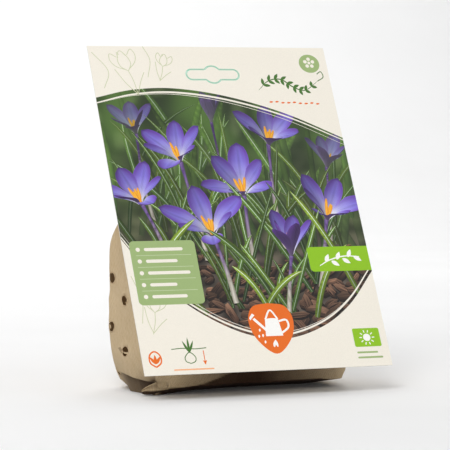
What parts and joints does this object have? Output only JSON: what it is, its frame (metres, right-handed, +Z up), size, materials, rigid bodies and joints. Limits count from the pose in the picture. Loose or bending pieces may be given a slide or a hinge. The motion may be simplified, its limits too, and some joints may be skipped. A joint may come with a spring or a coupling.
{
  "type": "flower bulb pack",
  "caption": "Kraft paper bag of crocus corms with air holes, standing on its folded bottom, with a tall printed picture card glued to its front and leaning back.",
  "frame": {"origin": "on the floor, under the middle of the pack's box", "axes": "+Z up, the card's printed face looks along -Y and its upper edge leans towards +Y, X across the card"},
  "size_m": [0.145, 0.1, 0.1906],
  "materials": {
    "card": "satin printed board",
    "kraft_paper": "matte ribbed kraft paper",
    "glue": "hot melt",
    "corm": "dry fibrous skin"
  },
  "bodies": {
    "root": {"card": "card", "bag": "kraft_paper", "glue_strip_lower": "glue", "glue_strip_upper": "glue", "corm_01": "corm", "corm_02": "corm", "corm_03": "corm", "corm_04": "corm", "corm_05": "corm", "corm_06": "corm", "corm_07": "corm", "corm_08": "corm", "corm_09": "corm", "corm_10": "corm"}
  },
  "joints": []
}
